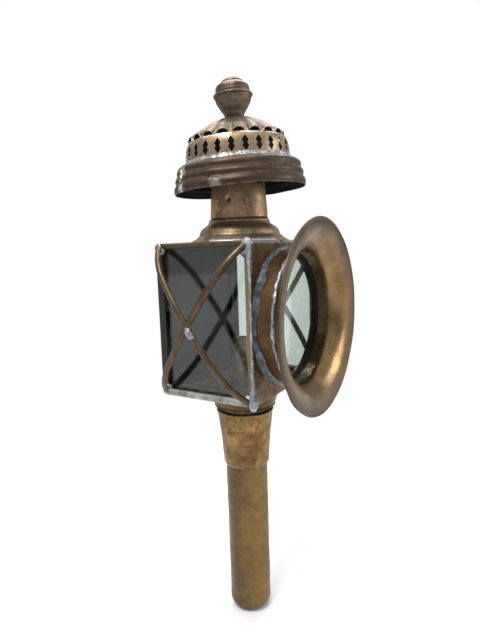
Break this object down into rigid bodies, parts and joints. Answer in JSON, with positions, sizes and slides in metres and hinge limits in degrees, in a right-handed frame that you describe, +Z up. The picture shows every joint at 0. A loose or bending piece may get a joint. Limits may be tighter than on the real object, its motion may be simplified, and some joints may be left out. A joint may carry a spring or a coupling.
{
  "type": "carriage lamp",
  "caption": "Brass candle lamp with a glazed box, a flared front bell, crossed window guards, a pierced chimney cap and a round stem that drops into a bracket.",
  "frame": {"origin": "on the stem's axis, where the stem tube enters the cone", "axes": "+Z up along the stem, -Y out of the bell, +X to the right-hand window seen from the front of the object's own left; left is -X"},
  "size_m": [0.142, 0.1127, 0.4051],
  "materials": {
    "lamp_brass": "aged sheet brass, brown patina",
    "cap_brass": "dull brown patina with grey solder smears",
    "solder": "dull lumpy lead-tin solder",
    "window_glass": "thin pale green flat glass",
    "blackened_sheet": "black, worn",
    "spring_steel": "bright wire"
  },
  "bodies": {
    "stem": {"stem_tube": "lamp_brass", "stem_end": "lamp_brass", "stem_cone": "lamp_brass", "cone_solder": "solder", "candle_tube": "lamp_brass", "upper_tube_guide": "lamp_brass", "lower_tube_guide": "lamp_brass", "spring_seat": "spring_steel", "candle_spring": "spring_steel"},
    "follower": {"candle_follower": "lamp_brass"},
    "nozzle": {"candle_nozzle": "lamp_brass"},
    "lantern": {"base_socket": "lamp_brass", "base_dish": "lamp_brass", "floor_plate": "lamp_brass", "top_plate": "lamp_brass", "front_panel": "lamp_brass", "back_frame": "blackened_sheet", "chimney_shoulder": "lamp_brass", "bell_collar": "lamp_brass", "collar_solder": "solder", "bell_solder": "solder", "bell": "lamp_brass", "front_glass": "window_glass", "front_glass_ring": "lamp_brass", "hinge_leaf_body": "blackened_sheet", "hinge_pin": "spring_steel", "top_rail_left": "lamp_brass", "bottom_rail_left": "lamp_brass", "glass_left": "window_glass", "glass_tabs_left": "lamp_brass", "corner_solder_left": "solder", "guard_left_long": "lamp_brass", "guard_left_upper": "lamp_brass", "guard_left_lower": "lamp_brass", "guard_solder_left": "solder", "top_rail_right": "lamp_brass", "bottom_rail_right": "lamp_brass", "glass_right": "window_glass", "glass_tabs_right": "lamp_brass", "corner_solder_right": "solder", "guard_right_long": "lamp_brass", "guard_right_upper": "lamp_brass", "guard_right_lower": "lamp_brass", "guard_solder_right": "solder"},
    "door": {"door_panel": "blackened_sheet", "door_knob": "lamp_brass", "door_catch": "blackened_sheet", "hinge_leaf_door": "blackened_sheet"},
    "chimney_top": {"chimney_sleeve": "lamp_brass", "cap_legs": "cap_brass", "cap_skirt": "cap_brass", "gallery_solder": "solder", "wind_band": "blackened_sheet", "gallery": "cap_brass", "canopy": "cap_brass", "finial_cup": "cap_brass", "finial_dome": "cap_brass"}
  },
  "joints": [
    {"name": "lantern_lift", "type": "slide", "parent": "stem", "child": "lantern", "axis": [0, 0, 1], "range_m": [0, 0.08]},
    {"name": "nozzle_lift", "type": "slide", "parent": "stem", "child": "nozzle", "axis": [0, 0, 1], "range_m": [0, 0.03]},
    {"name": "follower_slide", "type": "slide", "parent": "stem", "child": "follower", "axis": [0, 0, 1], "range_m": [-0.105, 0], "stiffness_N_per_m": 8, "springref_m": 0.02, "deforming": ["candle_spring"]},
    {"name": "door_swing", "type": "hinge", "parent": "lantern", "child": "door", "pos_m": [0.052, 0.0373, 0.117], "axis": [0, 0, -1], "range_deg": [0, 150]},
    {"name": "chimney_lift", "type": "slide", "parent": "lantern", "child": "chimney_top", "axis": [0, 0, 1], "range_m": [0, 0.03]}
  ]
}
